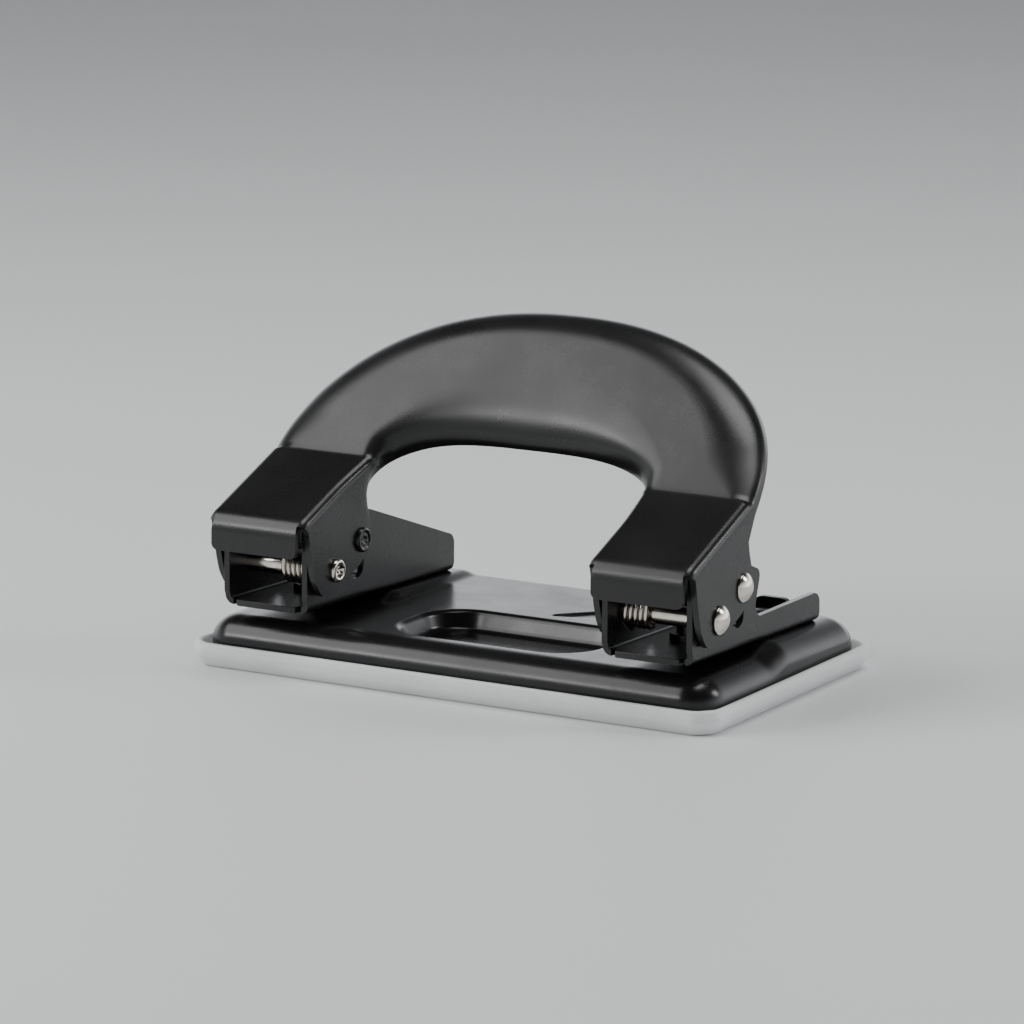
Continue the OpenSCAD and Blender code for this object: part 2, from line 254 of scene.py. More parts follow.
def turned(name, profile, centre, dent):
    """A right-hand piece turned about a line along X; the profile is a list of (x, radius).
    dent(x, radius, angle) gives a change in x, for crimped ends."""
    points = []
    for x, r in profile:
        for k in range(TURNED_SIDES):
            a = 2 * math.pi * k / TURNED_SIDES
            shift = dent(x, r, a) if dent else 0
            points.append((SIDE_X + x + shift,
                           centre[0] + r * math.cos(a), centre[1] + r * math.sin(a)))
    return outward(mesh_piece(name, points, capped(len(profile), TURNED_SIDES)))


def mirrored(obj, name):
    """Copy of a right-hand piece for the left-hand side."""
    twin = link(name, obj.data.copy())
    twin.data.transform(Matrix.Scale(-1, 4, (1, 0, 0)))
    twin.data.flip_normals()
    return twin


# ---------- shader node groups ----------

def group(name, inputs, outputs):
    """An empty shader group with named float inputs and named outputs."""
    tree = bpy.data.node_groups.new(name, "ShaderNodeTree")
    for label, value in inputs:
        socket = tree.interface.new_socket(label, in_out="INPUT", socket_type="NodeSocketFloat")
        socket.default_value = value
    for label, kind in outputs:
        tree.interface.new_socket(label, in_out="OUTPUT", socket_type="NodeSocket" + kind)
    return tree, tree.nodes.new("NodeGroupInput"), tree.nodes.new("NodeGroupOutput")


def math_node(tree, operation, a, b, clamp=False):
    node = tree.nodes.new("ShaderNodeMath")
    node.operation = operation
    node.use_clamp = clamp
    for socket, value in zip(node.inputs, (a, b)):
        if isinstance(value, (int, float)):
            socket.default_value = value
        else:
            tree.links.new(value, socket)
    return node.outputs[0]


def noise(tree, scale, detail, rough):
    """Noise on Object coordinates; scale is a socket or a number, per metre."""
    place = tree.nodes.new("ShaderNodeTexCoord")
    node = tree.nodes.new("ShaderNodeTexNoise")
    node.inputs["Detail"].default_value = detail
    node.inputs["Roughness"].default_value = rough
    tree.links.new(place.outputs["Object"], node.inputs["Vector"])
    if isinstance(scale, (int, float)):
        node.inputs["Scale"].default_value = scale
    else:
        tree.links.new(scale, node.inputs["Scale"])
    return node.outputs["Fac"]


def spread(tree, value, low, high, to_low, to_high):
    node = tree.nodes.new("ShaderNodeMapRange")
    node.inputs["From Min"].default_value = low
    node.inputs["From Max"].default_value = high
    for label, v in (("To Min", to_low), ("To Max", to_high)):
        if isinstance(v, (int, float)):
            node.inputs[label].default_value = v
        else:
            tree.links.new(v, node.inputs[label])
    tree.links.new(value, node.inputs["Value"])
    return node.outputs["Result"]


def make_grain_group():
    """Fine orange-peel grain: a height, and a roughness that wanders with the grain."""
    tree, given, made = group(
        "paint grain",
        [("Grain Size", 2600), ("Patch Size", 90), ("Roughness", 0.4), ("Spread", 0.06)],
        [("Height", "Float"), ("Roughness", "Float")])
    fine = noise(tree, given.outputs["Grain Size"], 3, 0.6)
    patch = noise(tree, given.outputs["Patch Size"], 4, 0.55)
    drift = math_node(tree, "MULTIPLY", math_node(tree, "SUBTRACT", patch, 0.5),
                      math_node(tree, "MULTIPLY", given.outputs["Spread"], 4))
    speck = math_node(tree, "MULTIPLY", math_node(tree, "SUBTRACT", fine, 0.5),
                      given.outputs["Spread"])
    total = math_node(tree, "ADD", math_node(tree, "ADD", given.outputs["Roughness"], drift),
                      speck, clamp=True)
    tree.links.new(fine, made.inputs["Height"])
    tree.links.new(total, made.inputs["Roughness"])
    return tree


def make_wear_group():
    """Mask of handled edges: strongest on outer corners and broken up by noise."""
    tree, given, made = group(
        "edge wear", [("Amount", 0.5), ("Patch Size", 500)], [("Mask", "Float")])
    shape = tree.nodes.new("ShaderNodeNewGeometry")
    edge = spread(tree, shape.outputs["Pointiness"], 0.57, 0.68, 0.0, 1.0)
    patch = spread(tree, noise(tree, given.outputs["Patch Size"], 5, 0.65), 0.42, 0.62, 0.15, 1)
    mask = math_node(tree, "MULTIPLY", math_node(tree, "MULTIPLY", edge, patch),
                     given.outputs["Amount"], clamp=True)
    tree.links.new(mask, made.inputs["Mask"])
    return tree


def make_brush_group():
    """Turning marks round a pin: rings along X, broken by noise."""
    tree, given, made = group(
        "turning marks", [("Ring Size", 9000), ("Roughness", 0.2), ("Spread", 0.1)],
        [("Height", "Float"), ("Roughness", "Float")])
    place = tree.nodes.new("ShaderNodeTexCoord")
    stretch = tree.nodes.new("ShaderNodeMapping")
    stretch.inputs["Scale"].default_value = (1.0, 0.06, 0.06)
    tree.links.new(place.outputs["Object"], stretch.inputs["Vector"])
    rings = tree.nodes.new("ShaderNodeTexNoise")
    rings.inputs["Detail"].default_value = 3
    tree.links.new(stretch.outputs["Vector"], rings.inputs["Vector"])
    tree.links.new(given.outputs["Ring Size"], rings.inputs["Scale"])
    drift = math_node(tree, "MULTIPLY",
                      math_node(tree, "SUBTRACT", rings.outputs["Fac"], 0.5),
                      given.outputs["Spread"])
    tree.links.new(rings.outputs["Fac"], made.inputs["Height"])
    tree.links.new(math_node(tree, "ADD", given.outputs["Roughness"], drift, clamp=True),
                   made.inputs["Roughness"])
    return tree


GRAIN = make_grain_group()
WEAR = make_wear_group()
BRUSH = make_brush_group()


# ---------- materials ----------

def new_material(name):
    mat = bpy.data.materials.new(name)
    mat.use_nodes = True
    tree = mat.node_tree
    tree.nodes.clear()
    shader = tree.nodes.new("ShaderNodeBsdfPrincipled")
    out = tree.nodes.new("ShaderNodeOutputMaterial")
    tree.links.new(shader.outputs["BSDF"], out.inputs["Surface"])
    return mat, tree, shader


def place_group(tree, kind, **values):
    node = tree.nodes.new("ShaderNodeGroup")
    node.node_tree = kind
    for label, value in values.items():
        node.inputs[label.replace("_", " ")].default_value = value
    return node


def bump(tree, shader, height, strength, distance):
    node = tree.nodes.new("ShaderNodeBump")
    node.inputs["Strength"].default_value = strength
    node.inputs["Distance"].default_value = distance
    tree.links.new(height, node.inputs["Height"])
    tree.links.new(node.outputs["Normal"], shader.inputs["Normal"])


def mix_colour(tree, mask, first, second):
    node = tree.nodes.new("ShaderNodeMix")
    node.data_type = "RGBA"
    node.inputs["A"].default_value = (*first, 1)
    node.inputs["B"].default_value = (*second, 1)
    tree.links.new(mask, node.inputs["Factor"])
    return node.outputs["Result"]


def painted(name, colour, worn, rough, grain, bump_strength, wear):
    """Black paint on steel, with grain, wandering gloss and rubbed edges."""
    mat, tree, shader = new_material(name)
    skin = place_group(tree, GRAIN, Grain_Size=grain, Roughness=rough, Spread=0.05)
    edges = place_group(tree, WEAR, Amount=wear)
    tree.links.new(mix_colour(tree, edges.outputs["Mask"], colour, worn),
                   shader.inputs["Base Color"])
    tree.links.new(skin.outputs["Roughness"], shader.inputs["Roughness"])
    bump(tree, shader, skin.outputs["Height"], bump_strength, 0.00005)
    return mat


def bare_metal(name, colour, dark, rough, ring=9000):
    """Turned or drawn metal with fine marks and a slightly uneven tone."""
    mat, tree, shader = new_material(name)
    marks = place_group(tree, BRUSH, Ring_Size=ring, Roughness=rough, Spread=0.12)
    tone = spread(tree, noise(tree, 700, 4, 0.6), 0.35, 0.7, 0.0, 1.0)
    tree.links.new(mix_colour(tree, tone, dark, colour), shader.inputs["Base Color"])
    tree.links.new(marks.outputs["Roughness"], shader.inputs["Roughness"])
    shader.inputs["Metallic"].default_value = 1.0
    bump(tree, shader, marks.outputs["Height"], 0.05, 0.00002)
    return mat


def milky_plastic(name):
    """Soft translucent plastic: frosted, with faint clouding and moulding grain."""
    mat, tree, shader = new_material(name)
    skin = place_group(tree, GRAIN, Grain_Size=1500, Roughness=0.42, Spread=0.05)
    cloud = spread(tree, noise(tree, 45, 3, 0.5), 0.3, 0.7, 0.0, 1.0)
    tree.links.new(mix_colour(tree, cloud, (0.70, 0.71, 0.71), (0.80, 0.81, 0.81)),
                   shader.inputs["Base Color"])
    tree.links.new(skin.outputs["Roughness"], shader.inputs["Roughness"])
    shader.inputs["Subsurface Weight"].default_value = 0.6
    shader.inputs["Subsurface Radius"].default_value = (1.0, 1.0, 1.0)
    shader.inputs["Subsurface Scale"].default_value = 0.003
    shader.inputs["IOR"].default_value = 1.45
    bump(tree, shader, skin.outputs["Height"], 0.06, 0.00005)
    return mat


SATIN = painted("satin black sheet", (0.009, 0.009, 0.0095), (0.04, 0.04, 0.042),
                0.29, 2800, 0.25, 0.6)
GLOSS = painted("glossy black base", (0.007, 0.007, 0.0075), (0.03, 0.03, 0.032),
                0.25, 900, 0.05, 0.4)
NICKEL = bare_metal("nickel pin", (0.80, 0.76, 0.69), (0.66, 0.62, 0.55), 0.16)
WIRE = bare_metal("spring wire", (0.78, 0.74, 0.66), (0.6, 0.56, 0.5), 0.2, 16000)
STEEL = bare_metal("blackened tool steel", (0.11, 0.11, 0.115), (0.05, 0.05, 0.055), 0.34)
RING = painted("black oxide ring", (0.012, 0.012, 0.012), (0.12, 0.12, 0.12),
               0.24, 3500, 0.1, 0.8)
PLASTIC = milky_plastic("milky tray plastic")


def finish_piece(obj, material, body, slot, *nodes):
    obj.data.materials.clear()
    obj.data.materials.append(material)
    if nodes:
        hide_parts(*nodes)
    if body:
        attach(obj, body)
    return obj


# ---------- handle ----------

LEG_SLOPE = math.radians(22)
ARCH_SLOPE = math.radians(50)
LEG_Z = 29.1
BEND = (22.45, LEG_Z + 22.45 * math.tan(LEG_SLOPE))
FLAP_Y = -0.6
FLAP_BOTTOM = 22.6
FLAP_HALF = 9.15
FLAP_CORNER_R = 1.3
TOP_CORNER = (FLAP_Y, LEG_Z + FLAP_Y * math.tan(LEG_SLOPE))
FRONT_RADIUS = 4.4
BEND_RADIUS = 2.6
FRONT_STEPS, SHARED_STEPS = 12, 5
ARCH_PLACE = (21.0, 36.4)
SHOULDER_R = 1.7
# Each edge of the arch in its own plane: half width, foot, rise and roundness
ARCH_OUT = (50.6, 1.0, 38.5, 2.2)
ARCH_IN = (29.6, -6.3, 16.7, 3.2)
# Widths of the inner and outer shoulders, low on the arch's sides and on its top
SIDE_SHOULDERS, TOP_SHOULDERS = (5.0, 10.5), (13.0, 7.5)
RIM_LOW, RIM_IN, RIM_OUT = 3.2, 5.4, 6.6
RIM_GROWTH = 1.25
BLEND_ROWS, BLEND_BEFORE, BLEND_DROP = 16, 6, 2.7
LEG_ROWS, BEND_ROWS, ARCH_ROWS = 26, 8, 64
TOP_COLS, WALL_COLS = 48, 8


def arch_edge(shape, a):
    """Edge of the arch, flat in its own plane: a is 0 at the leg and 90 degrees on top."""
    half, foot, rise, power = shape
    return (half * max(math.cos(a), 0) ** (2 / power),
            foot + rise * math.sin(a) ** (2 / power))


def arch_space(x, v, h):
    """A point of the arch's plane, and its depth h along the plane's normal, in the frame."""
    c, s = math.cos(ARCH_SLOPE), math.sin(ARCH_SLOPE)
    y, z = ARCH_PLACE
    return np.array([x, at_y(y + v * c - h * s), z + v * s + h * c])


def rim_depth(a, most):
    """Depth of the arch's rim below its plane, which grows from the legs to the top."""
    return RIM_LOW + (most - RIM_LOW) * smooth(RIM_GROWTH * math.sin(a))


def edge_angles(shape, foot_v, rows):
    """Angles along the arch's edge, spaced evenly by length from where it leaves the bend."""
    fine = np.radians(np.linspace(0, 90, 2000))
    pts = np.array([arch_edge(shape, a) for a in fine])
    keep = pts[:, 1] >= foot_v
    fine, pts = fine[keep], pts[keep]
    reach = np.concatenate([[0], np.cumsum(np.linalg.norm(np.diff(pts, axis=0), axis=1))])
    return np.interp(np.linspace(0, reach[-1], rows), reach, fine)


def ear_edge():
    """An ear's free edge, from the foot of its front edge round the lobe and up its back."""
    return [(3.3, 20.5), (4.1, 17.9), (5.3, 15.8), (6.6, 14.6), (8.0, 14.35), (9.6, 14.75),
            (13.5, 16.1), (18.0, 17.5), (20.9, 18.9), (22.9, 20.7), (23.9, 22.9), (23.7, 25.0),
            (23.1, 27.0), (22.4, 29.0), (22.05, 31.0)]


def section_point(t, half, inner, outer):
    """Place across the channel: (along its width, below its flat top). t runs from 0, the
    inner wall, to 180, the outer one; a shoulder is given as (width, drop)."""
    quarter = math.radians(45)
    if quarter <= t <= math.pi - quarter:
        share = (t - quarter) / (math.pi - 2 * quarter)
        return inner[0] - half + share * (2 * half - inner[0] - outer[0]), 0.0
    (wide, drop), near, side = (inner, t, -1) if t < quarter else (outer, math.pi - t, 1)
    lean = math.radians(90) * (1 - near / quarter)
    return side * (half - wide + wide * math.sin(lean)), drop * (math.cos(lean) - 1)


def front_bend():
    """Points of the rounded bend from a leg's top to its flap."""
    line = [BEND, TOP_CORNER, (FLAP_Y, FLAP_BOTTOM)]
    return fillet(line, [FRONT_RADIUS], FRONT_STEPS)[1:-1]


def handle_stations():
    """Right half of the handle: corners, rims, normal and shoulders of each cross section.
    "arched" runs from 0 on the leg to 1 on the arch."""
    c, s = math.cos(ARCH_SLOPE), math.sin(ARCH_SLOPE)
    end = (BEND[0] + 20 * c, BEND[1] + 20 * s)
    top = fillet([TOP_CORNER, BEND, end], [BEND_RADIUS], BEND_ROWS)
    bend_start, bend_line = top[1], top[1:-1]
    front = front_bend()
    first = front[0]
    bend_end_v = ((bend_line[-1][0] - ARCH_PLACE[0]) * c
                  + (bend_line[-1][1] - ARCH_PLACE[1]) * s)
    outer_a = edge_angles(ARCH_OUT, bend_end_v, ARCH_ROWS)
    inner_a = edge_angles(ARCH_IN, bend_end_v, ARCH_ROWS)
    arch_in_x = arch_edge(ARCH_IN, inner_a[0])[0]

    def rim(shape, a):
        x, v = arch_edge(shape, a)
        return arch_space(x, v, -rim_depth(a, RIM_IN if shape is ARCH_IN else RIM_OUT))

    # Free edge of a wall, from the ear's foot to the start of the arch
    def wall_edge(shape, x_ear, last):
        ear = [(x_ear, at_y(y), z) for y, z in ear_edge()]
        first_a = math.radians(8) if shape is ARCH_IN else math.radians(0.4)
        turn = ear[-1:] + [tuple(rim(shape, a)) for a in np.linspace(first_a, last, 6)]
        return np.vstack([along(ear, LEG_ROWS), along(turn, BEND_ROWS + 1)[1:]])

    inner_edge = wall_edge(ARCH_IN, SIDE_X - EAR_OUT, inner_a[0])
    outer_edge = wall_edge(ARCH_OUT, SIDE_X + EAR_OUT, outer_a[0])
    rows = []
    for i in range(LEG_ROWS + BEND_ROWS):
        if i < SHARED_STEPS:
            k = SHARED_STEPS - i
            y, z = front[k]
            slope = LEG_SLOPE + (math.radians(90) - LEG_SLOPE) * k / FRONT_STEPS
        elif i < LEG_ROWS:
            y, z = first + (bend_start - first) * (i - SHARED_STEPS) / (LEG_ROWS - SHARED_STEPS)
            slope = LEG_SLOPE
        else:
            k = i - LEG_ROWS
            y, z = bend_line[k]
            slope = LEG_SLOPE + (ARCH_SLOPE - LEG_SLOPE) * k / BEND_ROWS
        near = smooth((i - LEG_ROWS * 0.55) / (LEG_ROWS * 0.45 + BEND_ROWS))
        inner_x = (SIDE_X - EAR_OUT) * (1 - near) + arch_in_x * near
        rows.append(dict(
            inner=np.array([inner_x, at_y(y), z]),
            outer=np.array([SIDE_X + EAR_OUT, at_y(y), z]),
            rim_in=inner_edge[i], rim_out=outer_edge[i],
            normal=np.array([0, -math.sin(slope), math.cos(slope)]),
            shoulders=[(wide, BLEND_DROP) for wide in SIDE_SHOULDERS], arched=0.0))
    for a_out, a_in in zip(outer_a[1:], inner_a[1:]):
        xo, vo = arch_edge(ARCH_OUT, a_out)
        xi, vi = arch_edge(ARCH_IN, a_in)
        drops = (0.97 * rim_depth(a_in, RIM_IN), 0.85 * rim_depth(a_out, RIM_OUT))
        rows.append(dict(
            inner=arch_space(xi, vi, 0), outer=arch_space(xo, vo, 0),
            rim_in=rim(ARCH_IN, a_in), rim_out=rim(ARCH_OUT, a_out),
            normal=np.array([0, -s, c]),
            shoulders=[(low + (top - low) * math.sin(a_out) ** 2, drop)
                       for low, top, drop in zip(SIDE_SHOULDERS, TOP_SHOULDERS, drops)],
            arched=1.0))
    # The shoulders grow from the leg's into the arch's over a short stretch
    start = LEG_ROWS + BEND_ROWS - BLEND_BEFORE
    for i in range(start, start + BLEND_ROWS):
        rows[i]["arched"] = smooth((i - start + 1) / BLEND_ROWS)
    return rows


def handle_row(station):
    """Points of one cross section, from the inner rim over the top to the outer rim."""
    inner, outer = station["inner"], station["outer"]
    middle, across = (inner + outer) / 2, outer - inner
    half = np.linalg.norm(across) / 2
    u = across / (2 * half)
    shoulders = [[SHOULDER_R + (size - SHOULDER_R) * station["arched"] for size in shoulder]
                 for shoulder in station["shoulders"]]
    top = []
    for j in range(TOP_COLS + 1):
        q, h = section_point(math.pi * j / TOP_COLS, half, *shoulders)
        top.append(middle + u * q + station["normal"] * h)
    wall_in = [station["rim_in"] + (top[0] - station["rim_in"]) * k / WALL_COLS
               for k in range(WALL_COLS)]
    wall_out = [top[-1] + (station["rim_out"] - top[-1]) * (k + 1) / WALL_COLS
                for k in range(WALL_COLS)]
    return wall_in + top + wall_out


def flap_rows(first):
    """Rows that carry the flat top of a leg over its front bend and down the flap."""
    corner = front_bend()[SHARED_STEPS + 1:]
    low = corner[-1][1]
    heights = [low + (FLAP_BOTTOM + FLAP_CORNER_R - low) * k / 4 for k in (1, 2, 3, 4)]
    heights += [FLAP_BOTTOM + d for d in (0.9, 0.55, 0.25, 0.08, 0)]
    line = [(p[0], p[1]) for p in corner] + [(FLAP_Y, z) for z in heights]
    xs = np.array([p[0] for p in first]) - SIDE_X
    rows = []
    for y, z in line:
        drop = max(0.0, FLAP_BOTTOM + FLAP_CORNER_R - z)
        corner_in = FLAP_CORNER_R - math.sqrt(max(FLAP_CORNER_R ** 2 - drop ** 2, 0))
        half = FLAP_HALF - corner_in
        widen = 1 + (half / abs(xs[0]) - 1) * smooth((TOP_CORNER[1] - z) / 2.5)
        rows.append([np.array([SIDE_X + x * widen, at_y(y), z]) for x in xs])
    return rows


def make_handle():
    """Handle pressed from one sheet: the right half, its mirror image and the two flaps."""
    right = [handle_row(s) for s in handle_stations()]
    left = [[p * (-1, 1, 1) for p in row] for row in reversed(right[:-1])]
    rows = right + left
    cols = len(rows[0])
    points = [p for row in rows for p in row]
    faces = grid_faces(len(rows), cols)
    first_col = WALL_COLS + TOP_COLS // 4
    last_col = WALL_COLS + TOP_COLS - TOP_COLS // 4
    n_flap = last_col - first_col + 1
    extra = flap_rows(right[0][first_col:last_col + 1])
    for mirror, joint_row in ((1, 0), (-1, len(rows) - 1)):
        previous = [joint_row * cols + first_col + k for k in range(n_flap)]
        for row in extra:
            start = len(points)
            points += [p * (mirror, 1, 1) for p in row]
            current = [start + k for k in range(n_flap)]
            for k in range(n_flap - 1):
                quad = (current[k], current[k + 1], previous[k + 1], previous[k])
                faces.append(quad if mirror > 0 else quad[::-1])
            previous = current
    obj = mesh_piece("handle_pressing", points, faces)
    apex = (len(rows) // 2) * (cols - 1) + cols // 2
    if obj.data.polygons[apex].normal.z < 0:
        obj.data.flip_normals()
    wall = obj.modifiers.new("sheet", "SOLIDIFY")
    wall.thickness = SHEET * MM
    wall.offset = -1
    wall.use_even_offset = False
    wall.use_quality_normals = True
    settle(obj)
    return soften(obj, 0.16, angle=50)


finish_piece(make_handle(), SATIN, "handle", "black_sheet", "handle")


# ---------- brackets ----------

FOLD_R = 1.7
LIP_HALF = 6.6
BUSH_HOLE_R = 3.70
PLATE_FRONT_Y = 3.6
PLATE_NOSE_R = 11
PLATE_TOP = 45.0
TAB_Y = 54.0
SLOT_GAP = 0.2
SLOT_SWEEP = 33


def plate_front():
    """Front edge that both plates share, up to the nose round the pivot pin."""
    y = PLATE_FRONT_Y
    turn = math.degrees(math.acos((y - PIVOT_YF) / PLATE_NOSE_R))
    return ([(y + 1.2, 8.0)] + arc(y + 1.6, floor_z(y) + 3.0, 1.6, 215, 180, 3)
            + arc(PIVOT_YF, PIVOT[1], PLATE_NOSE_R, turn, 80, 14))


def inner_outline():
    """Tall plate that faces the middle of the punch."""
    return (plate_front() + [(26, 27.6)] + arc(54.8, 15.5, 2.3, 71, 0, 8)
            + [(57.0, 8.0)])


def outer_outline():
    """Outer plate: tall round the pins, then a low rail to the back."""
    return (plate_front() + [(22.5, 27.2)] + arc(27.8, 23.2, 1.9, 60, 0, 5)
            + arc(30.6, 18.2, 2.4, 180, 270, 8) + arc(52.2, 13.5, 2.3, 90, 0, 8) + [(54.5, 8.0)])


def channel():
    """The folded strip before its plates are trimmed: a U swept along the sloping floor."""
    def u_line(half, r, rise):
        turn = [(half - r + r * math.cos(a), rise + r - r * math.sin(a))
                for a in np.radians(np.linspace(0, 90, 9))]
        right = [(half, PLATE_TOP)] + turn
        return right + [(-x, z) for x, z in reversed(right)]

    outline = u_line(HALF_W, FOLD_R, 0) + u_line(HALF_W - SHEET, FOLD_R - SHEET, SHEET)[::-1]
    return between("channel", [(SIDE_X + x, at_y(y), z if z == PLATE_TOP else floor_z(y) + z)
                               for y in (2.0, 58.0) for x, z in outline])


def floor_trim():
    """Plan of the floor: a narrow rounded lip in front, the full width behind it."""
    half = HALF_W - 0.9
    right = [(LIP_HALF - 0.8, 3.4), (LIP_HALF - 0.2, 3.65), (LIP_HALF, 4.2), (LIP_HALF, 5.2),
             (half, 6.4), (half, 53.0)]
    plan = right + [(-x, y) for x, y in reversed(right)]
    return between("floor trim", [(SIDE_X + x, at_y(y), z) for z in (7.0, 13.6)
                                  for x, y in plan])


def slot_outline():
    """Arc slot in which the drive pin swings."""
    r, gap = math.hypot(DRIVE_YF - PIVOT_YF, DRIVE[1] - PIVOT[1]), PIN_R + SLOT_GAP
    high = math.degrees(math.atan2(DRIVE[1] - PIVOT[1], DRIVE_YF - PIVOT_YF)) + 1
    low = high - SLOT_SWEEP

    def end(a):
        return (PIVOT_YF + r * math.cos(math.radians(a)), PIVOT[1] + r * math.sin(math.radians(a)))

    return (arc(PIVOT_YF, PIVOT[1], r + gap, low, high, 16)
            + arc(*end(high), gap, high + 15, high + 165, 12)
            + arc(PIVOT_YF, PIVOT[1], r - gap, high, low, 12)
            + arc(*end(low), gap, low + 195, low + 345, 12))


def make_bracket():
    """Right bracket: the folded channel trimmed to its outlines, with its slot, hole and tab."""
    x = SIDE_X
    trim = prism("trim", inner_outline(), x - HALF_W - 1, x - HALF_W + FOLD_R)
    outer = prism("outer", outer_outline(), x + HALF_W - FOLD_R, x + HALF_W + 1)
    boolean(trim, floor_trim(), "UNION")
    boolean(trim, outer, "UNION")
    sheet = boolean(channel(), trim, "INTERSECT")
    boolean(sheet, prism("slot", slot_outline(), x - HALF_W - 2, x + HALF_W + 2), "DIFFERENCE")
    boolean(sheet, upright("bush hole", x, PUNCH_Y, BUSH_HOLE_R, 5, 14), "DIFFERENCE")
    tab = fillet([(-4.2, 10.2), (-4.2, 13.9), (4.2, 13.9), (4.2, 10.2)], [2.4, 2.4], 8)
    points = [(x + p[0], at_y(y), p[1]) for y in (TAB_Y - SHEET, TAB_Y) for p in tab]
    boolean(sheet, between("tab", points), "UNION")
    sheet.name = "bracket_right_sheet"
    return soften(outward(sheet), 0.16, angle=30)


bracket_right = make_bracket()
bracket_left = mirrored(bracket_right, "bracket_left_sheet")
finish_piece(bracket_right, SATIN, "frame", "black_sheet", "bracket_right")
finish_piece(bracket_left, SATIN, "frame", "black_sheet", "bracket_left")


# ---------- base ----------

BASE_L, BASE_D = node_size("base_plate")[:2]
CORNER_R = 6.4
EDGE_WIDE, EDGE_HIGH = 5.6, 5.0
BASE_TOP = DIE_TOP
SKIRT = node_box("base_plate")[0][2]
PAD_Y, PAD_SLOPE = 25.8, 8.4
PAD_MARGIN, PAD_SIDE_SLOPE = 3.6, 3.2
WEDGE = dict(x=2.5, y=36.0, lean=0.73, width=0.4, growth=0.27, depth=0.42)
PANEL = dict(x=2.3, y=20.8, l=41.8, d=23.4, r=8.9, depth=3.6)
CORNER_STEPS, LONG_STEPS, SHORT_STEPS = 20, 110, 60


def round_rect(l, d, r):
    """Closed outline of a rounded rectangle, always with the same number of points."""
    cx, cy = l / 2 - r, d / 2 - r
    pts = []
    corners = ((cx, cy, 0), (-cx, cy, 90), (-cx, -cy, 180), (cx, -cy, 270))
    for k, (x, y, a0) in enumerate(corners):
        for i in range(CORNER_STEPS):
            a = math.radians(a0 + 90 * i / CORNER_STEPS)
            pts.append((x + r * math.cos(a), y + r * math.sin(a)))
        steps = LONG_STEPS if k % 2 == 0 else SHORT_STEPS
        a = math.radians(a0 + 90)
        nx, ny, _ = corners[(k + 1) % 4]
        begin = (x + r * math.cos(a), y + r * math.sin(a))
        finish = (nx + r * math.cos(a), ny + r * math.sin(a))
        for i in range(steps):
            pts.append((begin[0] + (finish[0] - begin[0]) * i / steps,
                        begin[1] + (finish[1] - begin[1]) * i / steps))
    return np.array(pts)


def pad_rise(x, y):
    """Height of the pads that carry the brackets above the base's flat top."""
    yf = y - FRONT
    across = smooth((abs(x) - (SIDE_X - HALF_W - PAD_MARGIN)) / PAD_SIDE_SLOPE)
    return (floor_z(yf) - BASE_TOP) * smooth((yf - PAD_Y) / PAD_SLOPE) * across


def crease(x, y):
    """A small stamped wedge beside the right bracket, which points at the panel."""
    u = x - WEDGE["x"]
    off = y - FRONT - WEDGE["y"] - WEDGE["lean"] * u
    width = WEDGE["width"] + WEDGE["growth"] * max(u, 0)
    fade = smooth(u / 1.0) * smooth((30 - x) / 6)
    return -WEDGE["depth"] * fade * math.exp(-(off / width) ** 4 / 2) if fade > 0 else 0.0


def cut_hole(obj, x, y, radius):
    """Cuts a round hole in a flat part of an open sheet, one chord at a time."""
    bm = bmesh.new()
    bm.from_mesh(obj.data)
    centre = Vector((x, y, BASE_TOP)) * MM
    near = {v for v in bm.verts if (v.co - centre).xy.length < (radius + 5) * MM}
    inside = [f for f in bm.faces if any(v in near for v in f.verts)]
    for k in range(ROUND_SIDES):
        a = 2 * math.pi * k / ROUND_SIDES
        way = Vector((math.cos(a), math.sin(a), 0))
        chord = centre + way * radius * MM
        parts = {e for f in inside for e in (*f.edges, *f.verts)}
        made = bmesh.ops.bisect_plane(bm, geom=inside + list(parts), dist=1e-9,
                                      plane_co=chord, plane_no=way)
        inside = [f for f in made["geom"] if isinstance(f, bmesh.types.BMFace)
                  and (f.calc_center_median() - chord).dot(way) < 0]
    bmesh.ops.delete(bm, geom=inside, context="FACES")
    bm.to_mesh(obj.data)
    bm.free()


